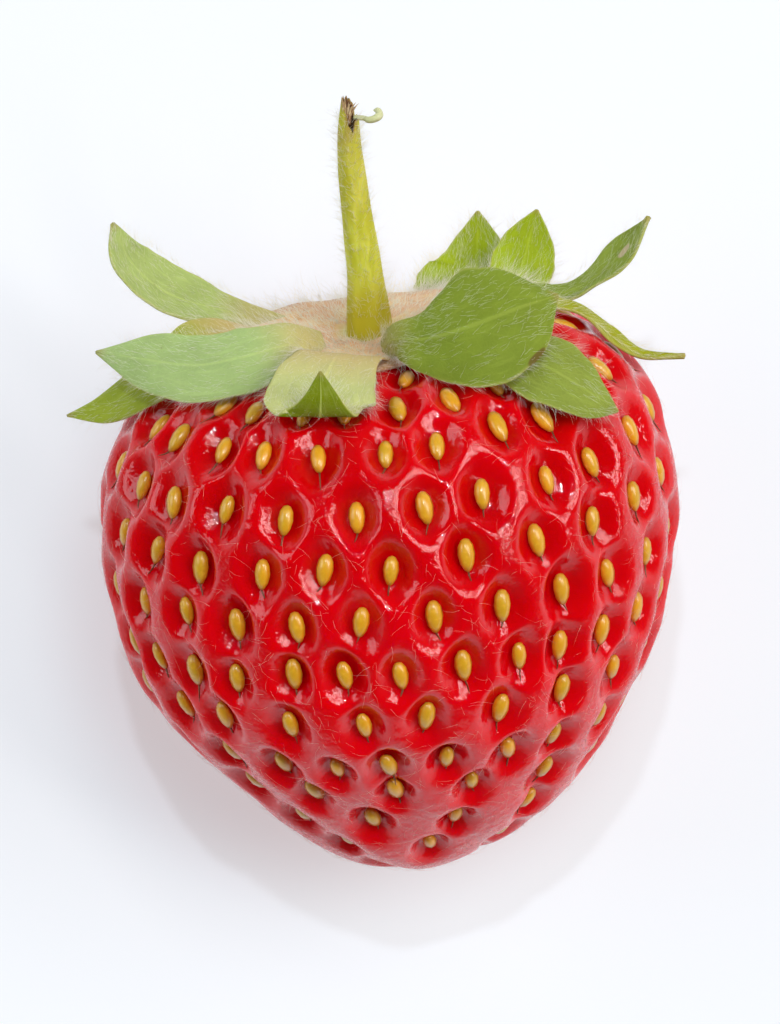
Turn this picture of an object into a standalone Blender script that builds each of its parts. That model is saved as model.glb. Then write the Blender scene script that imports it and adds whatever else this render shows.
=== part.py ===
# A ripe strawberry lying on its side, with its green cap and a short torn stalk.
# Metres, +Z up.  The origin is the middle of the small flat spot the berry rests on.
# +Y runs from the tip of the berry towards the stalk, +X is to the right of it.
import math

import bmesh
import bpy
import numpy as np

for old in list(bpy.data.objects):
    bpy.data.objects.remove(old, do_unlink=True)

MM = 0.001

# ---- the berry -------------------------------------------------------------------------
TILT = 18.0                       # degrees the core rises towards the stalk end
LEAN = 5.0                        # degrees the core leans to the left
CENTRE = (0.11, -1.39, 14.20)     # middle of the berry, mm
# radius in mm every 30 degrees from the tip (first) to the stalk end (last)
RADII = {"right": (16.9, 15.9, 15.05, 15.9, 18.0, 16.9, 13.4),
         "front": (16.9, 14.9, 14.3, 15.1, 16.5, 15.7, 13.4),
         "left": (16.9, 14.95, 14.6, 15.55, 16.9, 15.6, 13.4),
         "back": (16.9, 14.9, 14.3, 15.1, 16.2, 15.2, 13.4)}
# rows of achenes: degrees from the tip, number in the row, turn of the first one
ROWS = ((3, 1, 0), (13, 4, 30), (24, 8, 79), (35, 11, 104), (48, 14, 94), (60, 23, 78),
        (74, 22, 99), (86, 29, 101), (98, 25, 81), (109, 24, 88), (120, 24, 97), (132, 24, 89),
        (142, 23, 82), (151, 16, 75))
ROW_WANDER = 0.9                  # degrees an achene strays along the core
TURN_WANDER = 1.5                 # degrees it strays round the core
REST_CLEAR = 1.1                  # mm above the resting plane below which nothing is dimpled
ACHENE_LONG = 0.92                # half length of an achene, mm
ACHENE_WIDE = 0.56                # half width, mm
RIM_LONG = 1.85                   # half length of a pit's rim, mm
RIM_WIDE = 1.35                   # half width of the rim, mm
RIM_DEPTH = 0.16                  # mm the rim lies below the skin
PIT_DEPTH = 0.85                  # mm from the skin down to the foot of an achene
ACHENE_RISE = 0.55                # mm the achene stands out of its pit

# ---- the cap ---------------------------------------------------------------------------
DISC_EDGE = 26.0                  # degrees from the core at which the disc ends
DISC_GAP = 0.25                   # mm between the skin and the disc
DISC_THICK = 0.75                 # mm at the middle of the disc
BLADE_THICK = 0.30
# Each leaf of the cap: its centre line from foot to tip (mm), the way across it at the foot and
# at the tip, its half widths along the line (mm), and how much it is hollowed.
LEAVES = {
    "sepal_1": (((-8.1, 12.9, 16.2), (-9.9, 12.95, 16.7), (-12.2, 14.3, 17.0), (-14.2, 16.0, 17.1),
                 (-15.1, 18.1, 17.0)), (0.2, 0.6, -0.75), (0.4, 0.6, -0.65),
                (1.0, 1.45, 1.9, 1.6, 0.05), 0.25),
    "sepal_2": (((-5.2, 11.05, 23.8), (-7.6, 10.4, 24.3), (-10.2, 9.95, 23.6), (-13.0, 10.35, 22.1),
                 (-15.9, 10.85, 20.2)), (0.0, 0.85, -0.5), (0.0, 0.9, -0.4),
                (1.5, 2.0, 2.05, 1.6, 0.05), -0.12),
    "sepal_3": (((4.8, 14.95, 12.0), (5.0, 15.7, 11.8), (5.08, 16.5, 11.7), (5.12, 17.7, 11.8),
                 (5.12, 18.95, 12.1)), (0.98, -0.1, 0.1), (1.0, 0.0, 0.0),
                (2.4, 2.6, 1.95, 1.05, 0.05), 0.12),
    "sepal_4": (((-2.5, 10.5, 25.4), (-3.3, 9.1, 27.5), (-3.55, 7.9, 28.9), (-3.5, 7.35, 29.6),
                 (-3.45, 8.2, 30.3), (-3.5, 9.65, 30.2)), (-1.0, 0.1, -0.18), (-1.0, 0.0, 0.0),
                (2.3, 2.8, 2.95, 1.95, 1.0, 0.04), -0.12),
    "sepal_5": (((0.45, 11.4, 25.1), (2.2, 11.4, 26.2), (4.6, 12.0, 27.0), (7.2, 13.0, 26.7),
                 (9.3, 13.8, 25.4)), (0.2, -0.85, 0.4), (0.2, -0.88, 0.35),
                (0.9, 2.0, 3.45, 2.8, 0.05), -0.12),
    "bractlet_1": (((-9.45, 11.65, 19.65), (-10.7, 10.75, 20.65), (-12.6, 9.5, 20.4), (-15.2, 7.95, 18.5),
                    (-17.6, 7.4, 16.8)), (-0.2, 0.75, -0.6), (-0.2, 0.8, -0.5),
                   (1.5, 1.8, 1.6, 1.0, 0.05), -0.1),
    "bractlet_2": (((7.2, 14.6, 13.9), (7.45, 15.4, 13.6), (7.75, 16.4, 13.5), (8.05, 17.6, 13.6),
                    (8.4, 18.95, 13.9)), (0.97, -0.2, 0.0), (0.95, -0.3, 0.0),
                   (1.4, 1.75, 1.7, 1.2, 0.05), 0.15),
    "bractlet_3": (((7.4, 14.3, 15.9), (9.9, 14.2, 16.5), (11.6, 15.1, 17.0), (13.15, 16.5, 17.5),
                    (14.5, 18.4, 18.1)), (0.3, -0.45, 0.8), (0.3, -0.5, 0.75),
                   (0.7, 0.85, 1.0, 1.15, 0.05), 0.2),
    "bractlet_4": (((8.2, 13.7, 18.9), (10.6, 13.2, 18.9), (12.4, 11.85, 18.7), (14.1, 10.8, 18.4),
                    (16.5, 10.7, 18.0)), (0.1, -0.35, 0.93), (0.1, -0.45, 0.88),
                   (0.7, 1.0, 1.05, 0.7, 0.05), 0.1),
    "bractlet_5": (((5.5, 11.15, 25.0), (7.3, 10.5, 25.8), (9.1, 9.6, 26.5), (11.0, 8.4, 26.7),
                    (12.5, 7.5, 25.8)), (-0.4, -0.65, 0.45), (-0.4, -0.6, 0.5),
                   (1.4, 2.0, 2.2, 1.5, 0.05), -0.1),
}

# ---- the stalk -------------------------------------------------------------------------
STALK_PATH = ((-0.95, 12.9, 19.5), (-1.2, 15.5, 20.2), (-1.65, 18.8, 21.2), (-2.0, 22.1, 22.2),
              (-2.0, 24.7, 22.9))
STALK_RADII = (1.15, 0.95, 0.80, 0.65, 0.42)
STRAND_PATH = ((-1.22, 23.55, 22.6), (-0.95, 23.45, 22.8), (-0.62, 23.5, 22.9), (-0.36, 23.7, 22.8),
               (-0.45, 23.95, 22.6))
STRAND_RADIUS = 0.16

# The three directions the berry is built on: along its core, to its right, and to its front.
tilt = math.radians(TILT)
lean = math.radians(LEAN)
CORE = np.array([-math.sin(lean) * math.cos(tilt), math.cos(lean) * math.cos(tilt), math.sin(tilt)])
RIGHT = np.array([math.cos(lean), math.sin(lean), 0.0])
FRONT = np.cross(RIGHT, CORE)


def material(name, colour, roughness):
    made = bpy.data.materials.new(name)
    made.use_nodes = True
    shader = made.node_tree.nodes["Principled BSDF"]
    shader.inputs["Base Color"].default_value = (*colour, 1.0)
    shader.inputs["Roughness"].default_value = roughness
    shader.inputs["Metallic"].default_value = 0.0
    return made


def unit(v):
    v = np.asarray(v, float)
    return v / np.linalg.norm(v)


def profile(radii, phi):
    """The smooth curve through seven radii, as a sum of seven cosines of the angle phi."""
    at = np.radians(np.arange(0, 181, 30))
    waves = np.cos(np.outer(at, np.arange(7)))
    weights = np.linalg.solve(waves, np.array(radii, float))
    return np.cos(np.multiply.outer(phi, np.arange(7))) @ weights


def direction(phi, turn):
    """The unit vector phi radians from the tip and turned round the core (0 = right)."""
    side = math.cos(turn) * RIGHT + math.sin(turn) * FRONT
    return -math.cos(phi) * CORE + math.sin(phi) * side


def skin(way):
    """The point of the skin in the direction `way` from the middle of the berry, mm."""
    phi = math.acos(max(-1.0, min(1.0, -float(way @ CORE))))
    c, s = float(way @ RIGHT), float(way @ FRONT)
    flat = math.hypot(c, s)
    c, s = (c / flat, s / flat) if flat > 1e-9 else (1.0, 0.0)
    across = profile(RADII["right" if c > 0 else "left"], phi)
    along = profile(RADII["front" if s > 0 else "back"], phi)
    point = np.array(CENTRE) + (c * c * across + s * s * along) * way
    return point


def skin_normal(way):
    """Outward normal of the skin, from two short steps across it."""
    step = 0.02
    u = unit(np.cross(way, CORE + 0.01 * RIGHT))
    v = np.cross(way, u)
    du = skin(unit(way + step * u)) - skin(unit(way - step * u))
    dv = skin(unit(way + step * v)) - skin(unit(way - step * v))
    n = unit(np.cross(du, dv))
    return n if n @ way > 0 else -n


def new_object(name, bm, mat, smooth=True):
    """Turn an edit mesh into a named object whose faces look outwards."""
    bmesh.ops.recalc_face_normals(bm, faces=bm.faces)
    for face in bm.faces:
        face.smooth = smooth
    mesh = bpy.data.meshes.new(name)
    bm.to_mesh(mesh)
    bm.free()
    mesh.materials.append(mat)
    made = bpy.data.objects.new(name, mesh)
    bpy.context.scene.collection.objects.link(made)
    return made


# ---- the berry: one cell of skin round every achene ---------------------------------------
# The directions of the achenes, then of the plain cells: the stalk end and the resting spot.
wander = np.random.RandomState(207)
ways = []
planted = []
for row_angle, count, first in ROWS:
    for k in range(count):
        phi = math.radians(row_angle + ROW_WANDER * wander.uniform(-1, 1))
        turn = math.radians(first + 360.0 * k / count + TURN_WANDER * wander.uniform(-1, 1))
        ways.append(direction(phi, turn))
        planted.append(skin(ways[-1])[2] > REST_CLEAR)
for row_angle, count in ((161, 11), (171, 5), (180, 1)):
    for k in range(count):
        ways.append(direction(math.radians(row_angle), 2 * math.pi * k / count))
        planted.append(False)

# The hull of the directions on a unit sphere joins neighbours; every hull triangle is one corner
# of three cells.
hull = bmesh.new()
for way in ways:
    hull.verts.new(way)
bmesh.ops.convex_hull(hull, input=hull.verts)
bmesh.ops.triangulate(hull, faces=hull.faces)
hull.faces.ensure_lookup_table()
hull.faces.index_update()
corner_ways = []
for face in hull.faces:
    n = np.array(face.normal)
    if n @ np.array(face.calc_center_median()) < 0:
        n = -n
    corner_ways.append(unit(n))


def ring_of(v):
    """The hull triangles round a vertex, in order: each shares an edge with the next."""
    follow = {}
    for face in v.link_faces:
        a, b = [w.index for w in face.verts if w != v]
        follow.setdefault(a, []).append((face.index, b))
        follow.setdefault(b, []).append((face.index, a))
    ring = []
    here = next(iter(follow))
    while len(ring) < len(v.link_faces):
        for index, other in follow[here]:
            if index not in ring:
                ring.append(index)
                here = other
                break
    return ring


hull.verts.index_update()
rings = [ring_of(v) for v in hull.verts]
centres = [np.array(v.co) for v in hull.verts]
hull.free()


def is_planted(way):
    """Whether the cell nearest this direction holds an achene."""
    return planted[int(np.argmax([float(way @ w) for w in ways]))]


berry = bmesh.new()


def put(point):
    """A vertex of the berry, given in mm and never below the plane it rests on."""
    return berry.verts.new((point[0] * MM, point[1] * MM, max(0.0, point[2]) * MM))


corners = [put(skin(way)) for way in corner_ways]
for way, ring in zip(centres, rings):
    middle = skin(way)
    out = skin_normal(way)
    down = unit(-CORE - (-CORE @ out) * out)
    side = np.cross(out, down)
    turns = []
    for index in ring:
        arm = skin(corner_ways[index]) - middle
        turns.append(math.atan2(arm @ side, arm @ down))
    outer = [corners[index] for index in ring]
    count = len(outer)
    levels = []
    if is_planted(way):
        # the rim of the pit, an oval kept well inside the cell
        level = []
        for turn, index in zip(turns, ring):
            reach = 1.0 / math.hypot(math.cos(turn) / RIM_LONG, math.sin(turn) / RIM_WIDE)
            reach = min(reach, 0.70 * float(np.linalg.norm(skin(corner_ways[index]) - middle)))
            arm = reach * (math.cos(turn) * down + math.sin(turn) * side)
            level.append(put(skin(unit(middle + arm - np.array(CENTRE))) - RIM_DEPTH * out))
        levels.append(level)
        # foot of the achene deep in its pit, its shoulder, then its top
        for size, height in ((1.12, -PIT_DEPTH), (0.84, -PIT_DEPTH + 0.72 * ACHENE_RISE)):
            level = []
            for turn in turns:
                length = ACHENE_LONG * (1.12 if math.cos(turn) > 0 else 0.95)
                reach = 1.0 / math.hypot(math.cos(turn) / length, math.sin(turn) / ACHENE_WIDE)
                arm = size * reach * (math.cos(turn) * down + math.sin(turn) * side)
                level.append(put(middle + arm + height * out))
            levels.append(level)
        top = put(middle + (ACHENE_RISE - PIT_DEPTH) * out - 0.1 * down)
    else:
        top = put(middle)
    lower = outer
    for level in levels:
        for j in range(count):
            k = (j + 1) % count
            berry.faces.new((lower[j], lower[k], level[k], level[j]))
        lower = level
    for j in range(count):
        berry.faces.new((lower[j], lower[(j + 1) % count], top))
new_object("berry", berry, material("ripe_flesh", (0.62, 0.012, 0.022), 0.28))


# ---- shared builders ----------------------------------------------------------------------
def curve_point(points, t):
    """Point at t (0 to 1) on the smooth curve through evenly spaced control points."""
    points = [np.array(p, float) for p in points]
    points = [2 * points[0] - points[1]] + points + [2 * points[-1] - points[-2]]
    spans = len(points) - 3
    x = min(max(t, 0.0), 1.0) * spans
    i = min(int(x), spans - 1)
    x -= i
    a, b, c, d = points[i:i + 4]
    return 0.5 * (2 * b + (c - a) * x + (2 * a - 5 * b + 4 * c - d) * x ** 2
                  + (3 * b - a - 3 * c + d) * x ** 3)


def leaf_point(leaf, u, v):
    """Point of a leaf's middle surface: u along it (0 to 1), v across it (-1 to 1)."""
    path, side_foot, side_tip, halves, hollow = leaf
    here = curve_point(path, u)
    along = unit(curve_point(path, u + 0.02) - curve_point(path, u - 0.02))
    side = (1 - u) * np.array(side_foot) + u * np.array(side_tip)
    side = unit(side - (side @ along) * along)
    up = np.cross(side, along)
    half = max(0.03, float(curve_point([(h,) for h in halves], u)[0]))
    return here + v * half * side + hollow * half * (v * v - 0.35) * up


def build_leaf(name, leaf, mat, steps=12, across=4):
    """A grid over the leaf's middle surface, given its thickness by a Solidify modifier."""
    bm = bmesh.new()
    rows = []
    for i in range(steps + 1):
        points = [leaf_point(leaf, 0.995 * i / steps, 2.0 * j / across - 1.0)
                  for j in range(across + 1)]
        rows.append([bm.verts.new(p * MM) for p in points])
    for near, far in zip(rows, rows[1:]):
        for j in range(across):
            bm.faces.new((near[j], near[j + 1], far[j + 1], far[j]))
    leaf_object = new_object(name, bm, mat)
    solidify = leaf_object.modifiers.new("thickness", "SOLIDIFY")
    solidify.thickness = BLADE_THICK * MM
    solidify.offset = 0.0
    return leaf_object


def build_tube(name, path, radii, sides, steps, mat, jag=0.0):
    """A closed tube along a path; `jag` makes its far end uneven, as torn fibres are."""
    bm = bmesh.new()
    loops = []
    for i in range(steps + 1):
        u = i / steps
        here = curve_point(path, u)
        along = unit(curve_point(path, u + 0.02) - curve_point(path, u - 0.02))
        side = unit(np.cross(along, (0.0, 0.0, 1.0)))
        up = np.cross(side, along)
        radius = float(curve_point([(r,) for r in radii], u)[0])
        loop = []
        for j in range(sides):
            turn = 2 * math.pi * j / sides
            ragged = jag * (0.5 + 0.5 * math.sin(5 * turn + 0.7)) if i == steps else 0.0
            p = here + radius * (math.cos(turn) * side + math.sin(turn) * up) - ragged * along
            loop.append(bm.verts.new(p * MM))
        loops.append(loop)
    for lower, upper in zip(loops, loops[1:]):
        for j in range(sides):
            k = (j + 1) % sides
            bm.faces.new((lower[j], lower[k], upper[k], upper[j]))
    for loop, u, inwards in ((loops[0], 0.0, 0.0), (loops[-1], 1.0, 0.8 * jag)):
        along = unit(curve_point(path, 1.0) - curve_point(path, 0.96))
        middle = bm.verts.new((curve_point(path, u) - inwards * along) * MM)
        for j in range(sides):
            bm.faces.new((loop[j], loop[(j + 1) % sides], middle))
    return new_object(name, bm, mat)


# ---- the disc the leaves grow from -----------------------------------------------------------
# It follows the skin under it, a small gap away, and is thickest in the middle.
disc = bmesh.new()
disc_rings = []
for share, thick in ((0.45, 0.0), (0.97, 0.0), (1.0, 0.3), (0.93, 0.62), (0.6, 0.85)):
    ring = []
    for j in range(20):
        turn = 2 * math.pi * j / 20
        edge = DISC_EDGE - 2.0 * math.cos(turn) + 0.6 * math.sin(5 * turn)
        way = direction(math.pi - math.radians(share * edge), turn)
        p = skin(way) + (DISC_GAP + DISC_THICK * thick) * way
        ring.append(disc.verts.new(p * MM))
    disc_rings.append(ring)
for lower, upper in zip(disc_rings, disc_rings[1:]):
    for j in range(20):
        k = (j + 1) % 20
        disc.faces.new((lower[j], lower[k], upper[k], upper[j]))
for ring, thick in ((disc_rings[0], 0.0), (disc_rings[-1], 1.0)):
    middle = disc.verts.new((skin(CORE) + (DISC_GAP + DISC_THICK * thick) * CORE) * MM)
    for j in range(20):
        disc.faces.new((ring[j], ring[(j + 1) % 20], middle))
new_object("calyx_disc", disc, material("hairy_disc", (0.50, 0.34, 0.20), 0.85))

# ---- leaves, stalk and the strand torn from it ------------------------------------------------
sepal_green = material("sepal_green", (0.22, 0.36, 0.09), 0.55)
bractlet_green = material("bractlet_green", (0.25, 0.40, 0.08), 0.55)
for leaf_name, leaf in LEAVES.items():
    build_leaf(leaf_name, leaf, sepal_green if leaf_name.startswith("sepal") else bractlet_green)
build_tube("stem", STALK_PATH, STALK_RADII, 14, 14, material("stalk_green", (0.34, 0.42, 0.08), 0.5),
           jag=0.7)
build_tube("stem_strand", STRAND_PATH, (STRAND_RADIUS,) * 5, 8, 12,
           material("torn_fibre", (0.62, 0.58, 0.26), 0.6))
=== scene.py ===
# %% [markdown]
# # A strawberry on its side
# A strawberry is a swollen flower base.  The small yellow "seeds" are its real fruits, called
# achenes, and each one sits in a dimple of the red flesh.  The green cap is made of five broad
# leaves (sepals) and five narrower ones between them (bractlets).
#
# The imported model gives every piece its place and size.  This lesson covers each of its solids
# with a finer surface, so it begins by loading the model and keeping its box.

import math

import bpy
import numpy as np
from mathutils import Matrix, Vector


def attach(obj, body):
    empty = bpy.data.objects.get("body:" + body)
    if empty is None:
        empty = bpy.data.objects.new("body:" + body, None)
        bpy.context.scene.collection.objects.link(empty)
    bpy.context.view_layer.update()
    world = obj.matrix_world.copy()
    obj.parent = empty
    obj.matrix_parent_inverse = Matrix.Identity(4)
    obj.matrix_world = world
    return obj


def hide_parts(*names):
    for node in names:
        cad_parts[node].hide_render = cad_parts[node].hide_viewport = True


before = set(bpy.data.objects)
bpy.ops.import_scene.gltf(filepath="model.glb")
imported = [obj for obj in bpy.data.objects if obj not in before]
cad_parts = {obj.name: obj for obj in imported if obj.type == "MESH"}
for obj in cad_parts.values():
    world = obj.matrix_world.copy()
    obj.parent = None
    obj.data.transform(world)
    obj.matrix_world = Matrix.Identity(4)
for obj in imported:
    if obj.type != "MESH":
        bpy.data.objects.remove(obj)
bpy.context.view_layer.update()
MM = 0.001

# %% [markdown]
# ## The shape of the berry
# The berry could be a sphere pushed about by hand, but then nothing else could be placed on it.
# A formula is better: it gives the distance from the middle of the berry to its skin in every
# direction, and the dimples, achenes and hairs can all ask it where the skin is.  The radii are
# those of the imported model, one list for each side of the core.

# %% The skin as a formula
TILT, LEAN = math.radians(18.0), math.radians(5.0)    # how the core rises and leans
CENTRE = np.array((0.11, -1.39, 14.20))               # middle of the berry, mm
RADII = {"right": (16.9, 15.9, 15.05, 15.9, 18.0, 16.9, 13.4),
         "front": (16.9, 14.9, 14.3, 15.1, 16.5, 15.7, 13.4),
         "left": (16.9, 14.95, 14.6, 15.55, 16.9, 15.6, 13.4),
         "back": (16.9, 14.9, 14.3, 15.1, 16.2, 15.2, 13.4)}
CORE = np.array((-math.sin(LEAN) * math.cos(TILT), math.cos(LEAN) * math.cos(TILT),
                 math.sin(TILT)))                      # from the tip towards the stalk
RIGHT = np.array((math.cos(LEAN), math.sin(LEAN), 0.0))
FRONT = np.cross(RIGHT, CORE)
print("the core points", CORE.round(3))


def unit(v):
    """Vectors scaled to length one, along the last axis."""
    return v / np.maximum(np.linalg.norm(v, axis=-1, keepdims=True), 1e-12)


def dot(a, b):
    """Dot product along the last axis, kept as a column."""
    return np.sum(a * b, axis=-1, keepdims=True)


def towards(phi, turn):
    """Unit vectors at the angle phi from the tip, turned round the core (0 is to the right)."""
    phi, turn = np.broadcast_arrays(phi, turn)
    phi, turn = phi[..., None], turn[..., None]
    return -np.cos(phi) * CORE + np.sin(phi) * (np.cos(turn) * RIGHT + np.sin(turn) * FRONT)


def radius_curve(radii, phi):
    """The smooth curve through seven evenly spaced radii, as a sum of seven cosines of phi."""
    waves = np.cos(np.outer(np.radians(np.arange(0, 181, 30)), np.arange(7)))
    return np.cos(phi[..., None] * np.arange(7)) @ np.linalg.solve(waves, np.array(radii))


def skin(way):
    """Skin points, mm: the radii of the two nearest sides, mixed by cosine and sine squared."""
    phi = np.arccos(np.clip(-way @ CORE, -1, 1))
    c, s = way @ RIGHT, way @ FRONT
    flat = np.maximum(np.hypot(c, s), 1e-9)
    c, s = c / flat, s / flat
    across = np.where(c > 0, radius_curve(RADII["right"], phi), radius_curve(RADII["left"], phi))
    along = np.where(s > 0, radius_curve(RADII["front"], phi), radius_curve(RADII["back"], phi))
    return CENTRE + (c * c * across + s * s * along)[..., None] * way


def skin_normal(way):
    """Outward normals: the cross product of two short steps over the skin."""
    u = unit(np.cross(way, CORE + 0.01 * RIGHT))
    v = np.cross(way, u)
    du = skin(unit(way + 0.02 * u)) - skin(unit(way - 0.02 * u))
    dv = skin(unit(way + 0.02 * v)) - skin(unit(way - 0.02 * v))
    n = unit(np.cross(du, dv))
    return n * np.sign(dot(n, way))


# %% [markdown]
# ## Where the achenes grow
# Achenes come in rows round the berry, each row turned against the one before, so that every
# achene sits over a gap.  A degree or so of seeded wander stops the rows looking printed.  Each
# achene gets three directions of its own: out of the skin, down towards the tip, and sideways.
#
# The rows are the imported model's.  Most were set one by one.  Those at 60, 74, 86, 98, 109 and 142
# degrees, and the seed of the wander, were picked by a search program, to lie as on the real berry.

# %% Rows of achenes
ROWS = ((3, 1, 0), (13, 4, 30), (24, 8, 79), (35, 11, 104), (48, 14, 94), (60, 23, 78),
        (74, 22, 99), (86, 29, 101), (98, 25, 81), (109, 24, 88), (120, 24, 97), (132, 24, 89),
        (142, 23, 82), (151, 16, 75))        # degrees from the tip, number, turn of the first
ROW_WANDER, TURN_WANDER = 0.9, 1.5           # degrees
REST_CLEAR = 1.1                             # mm above the table below which nothing is dimpled
TABLE_CLEAR = 0.02                           # mm between the flat spot and the table

wander = np.random.RandomState(207)
places = [(row + ROW_WANDER * wander.uniform(-1, 1),
           first + 360.0 * k / count + TURN_WANDER * wander.uniform(-1, 1))
          for row, count, first in ROWS for k in range(count)]
achene_phi, achene_turn = np.radians(np.array(places)).T
achene_way = towards(achene_phi, achene_turn)
keep = skin(achene_way)[:, 2] > REST_CLEAR
achene_phi, achene_way = achene_phi[keep], achene_way[keep]
achene_at = skin(achene_way)
achene_out = skin_normal(achene_way)
achene_down = unit(-CORE - dot(np.broadcast_to(-CORE, achene_out.shape), achene_out) * achene_out)
achene_side = np.cross(achene_out, achene_down)
print(len(achene_at), "achenes")

# %% [markdown]
# ## Dimples
# A dimple is an oval bowl with a flat floor and a steep wall that rolls over into a soft rim.
# The curve exp(-(r / wall) ** 4) has just that shape, with r the distance from the achene as a
# share of the oval's half width or half length.  A second, wide and shallow bowl round each one
# leaves rounded ridges where two meet, which makes the flesh look pillowy.  Plain adding would
# sink those ridges too, so the bowls are added as cubes and the cube root is taken.

# %% Depth of the dimples
DIMPLE_WIDE, DIMPLE_LONG, DIMPLE_DEEP = 1.42, 2.05, 0.82      # half width, half length, depth, mm
WALL, HOLLOW_REACH, HOLLOW_DEEP = 0.84, 1.45, 0.24            # two shares of the oval, then mm
DEEPEST = 1.3                                                 # mm
SAME_SIDE = 4.0          # mm along its normal past which an achene is on another side of the berry
BLOCK = 4000             # points worked on at a time
chance = np.random.RandomState(11)
dimple_size = chance.uniform(0.88, 1.10, len(achene_at)) * np.interp(
    np.degrees(achene_phi), (0, 20, 50, 130, 151), (0.72, 0.84, 0.95, 1.0, 0.82))
dimple_deep = chance.uniform(0.80, 1.15, len(achene_at)) * np.interp(
    np.degrees(achene_phi), (0, 30, 130, 151), (0.8, 1.05, 1.0, 0.6))


def dimples(points):
    """Depth at each point, mm: (sum of bowl ** 3) ** (1/3), and r of the nearest achene."""
    depth, nearest = np.empty(len(points)), np.empty(len(points))
    for start in range(0, len(points), BLOCK):
        part = slice(start, start + BLOCK)
        arm = points[part, None, :] - achene_at[None]
        x = np.sum(arm * achene_side, -1) / (DIMPLE_WIDE * dimple_size)
        y = np.sum(arm * achene_down, -1) / (DIMPLE_LONG * dimple_size)
        far_off = 9.0 * (np.abs(np.sum(arm * achene_out, -1)) > SAME_SIDE)
        r = np.sqrt(x * x + y * y) + far_off
        bowl = DIMPLE_DEEP * np.exp(-(r / WALL) ** 4)
        bowl = bowl + HOLLOW_DEEP * np.exp(-(r / HOLLOW_REACH) ** 2)
        depth[part] = np.minimum(((bowl * dimple_deep) ** 3).sum(1) ** (1 / 3), DEEPEST)
        nearest[part] = r.min(1)
    return depth, nearest


def swell(points):
    """Gentle unevenness of the flesh, mm: crossed sine waves several millimetres long."""
    x, y, z = points.T
    return 0.08 * (np.sin(0.75 * x + 1.3) * np.sin(0.62 * y) + np.sin(0.9 * z + 0.8 * x)) \
        + 0.035 * np.sin(1.7 * x + 0.6 * z) * np.sin(1.9 * y + 1.0)


def flesh_point(way):
    """The finished surface of the flesh in a direction, mm, flattened just above the table."""
    base, out = skin(way), skin_normal(way)
    depth, nearest = dimples(base)
    lifted = base + (swell(base) + 0.6 * HOLLOW_DEEP - depth)[:, None] * out
    lifted[:, 2] = np.maximum(lifted[:, 2], TABLE_CLEAR)
    return lifted, np.minimum(nearest, 2.0)


# %% [markdown]
# ## From arrays to meshes
# Every piece here is a grid of points, rows by columns.  One function turns such a grid into a
# mesh: it joins neighbours with four-sided faces, closes the grid on itself, and closes each end
# with a fan round one middle point.  The enclosed volume tells whether the faces look outwards;
# if it comes out negative they are all turned round.

# %% One mesh builder
def put_mesh(name, points, faces, attributes=None):
    """A smooth-shaded object from points in mm and faces as index lists."""
    mesh = bpy.data.meshes.new(name)
    mesh.from_pydata((np.asarray(points) * MM).tolist(), [], faces)
    mesh.shade_smooth()
    for key, values in (attributes or {}).items():
        layer = mesh.attributes.new(key, "FLOAT", "POINT")
        layer.data.foreach_set("value", np.asarray(values, np.float32).ravel())
    mesh.update()
    made = bpy.data.objects.new(name, mesh)
    bpy.context.scene.collection.objects.link(made)
    return made


def volume(points, faces):
    """Signed volume inside the faces, from the tetrahedra between the origin and each face."""
    quads = np.array([f if len(f) == 4 else [*f, f[2]] for f in faces])
    a, b, c, d = (points[quads[:, k]] for k in range(4))
    return float((np.sum(a * np.cross(b, c), -1) + np.sum(a * np.cross(c, d), -1)).sum() / 6)


def closed_grid(name, grid, first, last, attributes=None):
    """A closed surface: grid (rows, columns, 3) joined round its columns, with end points."""
    rows, columns = grid.shape[:2]
    index = np.arange(rows * columns).reshape(rows, columns)
    right = np.roll(index, -1, axis=1)
    quads = np.stack([index[:-1], right[:-1], right[1:], index[1:]], -1).reshape(-1, 4).tolist()
    start, end = rows * columns, rows * columns + 1
    fans = [[int(b), int(a), start] for a, b in zip(index[0], right[0])]
    fans += [[int(a), int(b), end] for a, b in zip(index[-1], right[-1])]
    points = np.vstack([grid.reshape(-1, 3), [first], [last]])
    faces = quads + fans
    if volume(points, faces) < 0:
        faces = [f[::-1] for f in faces]
    full = {key: np.concatenate([np.asarray(values).ravel(), [values[0].mean(), values[-1].mean()]])
            for key, values in (attributes or {}).items()}
    made = put_mesh(name, points, faces, full)
    print(name, len(faces), "faces,", round(abs(volume(points, faces)), 2), "mm3")
    return made


def dress(piece, finish, slot, *nodes):
    """Give a piece its material and its place on the model; slot is not used."""
    piece.data.materials.append(finish)
    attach(piece, "root")
    if nodes:
        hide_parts(*nodes)
    print(piece.name, "is finished in", finish.name)
    return piece


# %% [markdown]
# ## Writing shader maths as sums
# A material is a tree of nodes, and its arithmetic soon fills the screen.  A small class wraps a
# socket, so that `0.2 + 0.1 * noise` adds the Math nodes by itself.  The `Finish` class holds one
# material and adds any other kind of node from its type, settings and inputs.

# %% Sockets with operators, and the Finish class
class Value:
    """A socket; each operator adds one Math node and wraps its result."""

    def __init__(self, finish, socket):
        self.finish, self.socket = finish, socket

    def maths(self, operation, *terms):
        """A Math node with that operation on the terms."""
        return self.finish.node("ShaderNodeMath", {"operation": operation}, dict(enumerate(terms)))

    def __add__(self, other):
        return self.maths("ADD", self, other)

    def __sub__(self, other):
        return self.maths("SUBTRACT", self, other)

    def __rsub__(self, other):
        return self.maths("SUBTRACT", other, self)

    def __mul__(self, other):
        return self.maths("MULTIPLY", self, other)

    def __truediv__(self, other):
        return self.maths("DIVIDE", self, other)

    def __pow__(self, other):
        return self.maths("POWER", self, other)

    __radd__, __rmul__ = __add__, __mul__

    def between(self, low, high):
        """0 below low, 1 above high, smooth in between."""
        return self.finish.node("ShaderNodeMapRange", {"interpolation_type": "SMOOTHSTEP"},
                                {"Value": self, "From Min": low, "From Max": high})


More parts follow.
